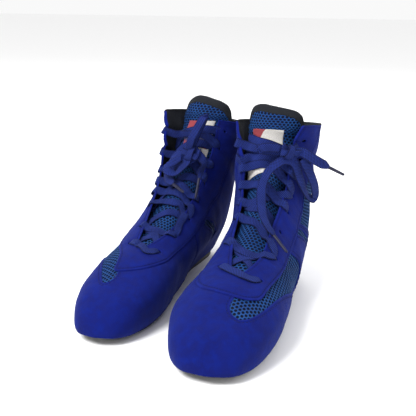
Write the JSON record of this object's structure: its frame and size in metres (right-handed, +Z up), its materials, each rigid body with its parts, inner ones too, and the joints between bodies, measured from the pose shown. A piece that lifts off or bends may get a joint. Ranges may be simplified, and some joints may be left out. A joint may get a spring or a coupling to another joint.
{
  "type": "boxing boots",
  "caption": "Pair of laced mid-height boxing boots in suede and mesh, with a thin flat rubber sole, padded tongue and tied flat laces.",
  "frame": {"origin": "on the floor, under the middle of the pair's bounding box (the bow's free laces left out)", "axes": "toes towards -Y, heels towards +Y, +Z up; the right boot stands on the -X side and further back, the left boot on the +X side"},
  "size_m": [0.2455, 0.3354, 0.1859],
  "materials": {
    "suede": "napped suede, matte",
    "mesh": "perforated knit mesh",
    "lining": "matte woven",
    "rubber": "matte moulded",
    "board": "pressed fibre",
    "foam": "cloth on foam",
    "label": "woven badge",
    "lace": "flat woven",
    "aglet": "smooth dark film"
  },
  "bodies": {
    "right_boot": {"right_outsole": "rubber", "right_lasting_board": "board", "right_sockliner": "foam", "right_toe_puff": "board", "right_heel_counter": "board", "right_lining": "lining", "right_lateral_mesh": "mesh", "right_medial_mesh": "mesh", "right_vamp": "suede", "right_lace_stay": "suede", "right_lateral_quarter": "suede", "right_medial_quarter": "suede", "right_backstay": "suede", "right_collar_binding": "lining", "right_tongue": "mesh", "right_tongue_label": "label", "right_laced_rows": "lace", "right_knot": "lace", "right_bow_loop_1": "lace", "right_bow_loop_2": "lace", "right_lace_end_1": "lace", "right_lace_end_2": "lace", "right_aglet_1": "aglet", "right_aglet_2": "aglet"},
    "right_tongue_top": {"right_tongue_top": "mesh"},
    "left_boot": {"left_outsole": "rubber", "left_lasting_board": "board", "left_sockliner": "foam", "left_toe_puff": "board", "left_heel_counter": "board", "left_lining": "lining", "left_lateral_mesh": "mesh", "left_medial_mesh": "mesh", "left_vamp": "suede", "left_lace_stay": "suede", "left_lateral_quarter": "suede", "left_medial_quarter": "suede", "left_backstay": "suede", "left_collar_binding": "lining", "left_tongue": "mesh", "left_tongue_label": "label", "left_laced_rows": "lace", "left_knot": "lace", "left_bow_loop_1": "lace", "left_bow_loop_2": "lace", "left_lace_end_1": "lace", "left_lace_end_2": "lace", "left_aglet_1": "aglet", "left_aglet_2": "aglet"},
    "left_tongue_top": {"left_tongue_top": "mesh"}
  },
  "joints": [
    {"name": "boots_apart", "type": "slide", "parent": "right_boot", "child": "left_boot", "axis": [1, 0, 0], "range_m": [0, 0.3]},
    {"name": "right_tongue_fold", "type": "hinge", "parent": "right_boot", "child": "right_tongue_top", "pos_m": [0.00211, 0.07952, 0.1695], "axis": [0.9489, -0.3156, 0], "range_deg": [-5, 30], "stiffness_Nm_per_rad": 0.02},
    {"name": "left_tongue_fold", "type": "hinge", "parent": "left_boot", "child": "left_tongue_top", "pos_m": [0.06362, 0.02594, 0.1695], "axis": [0.9711, -0.2385, 0], "range_deg": [-5, 30], "stiffness_Nm_per_rad": 0.02}
  ]
}
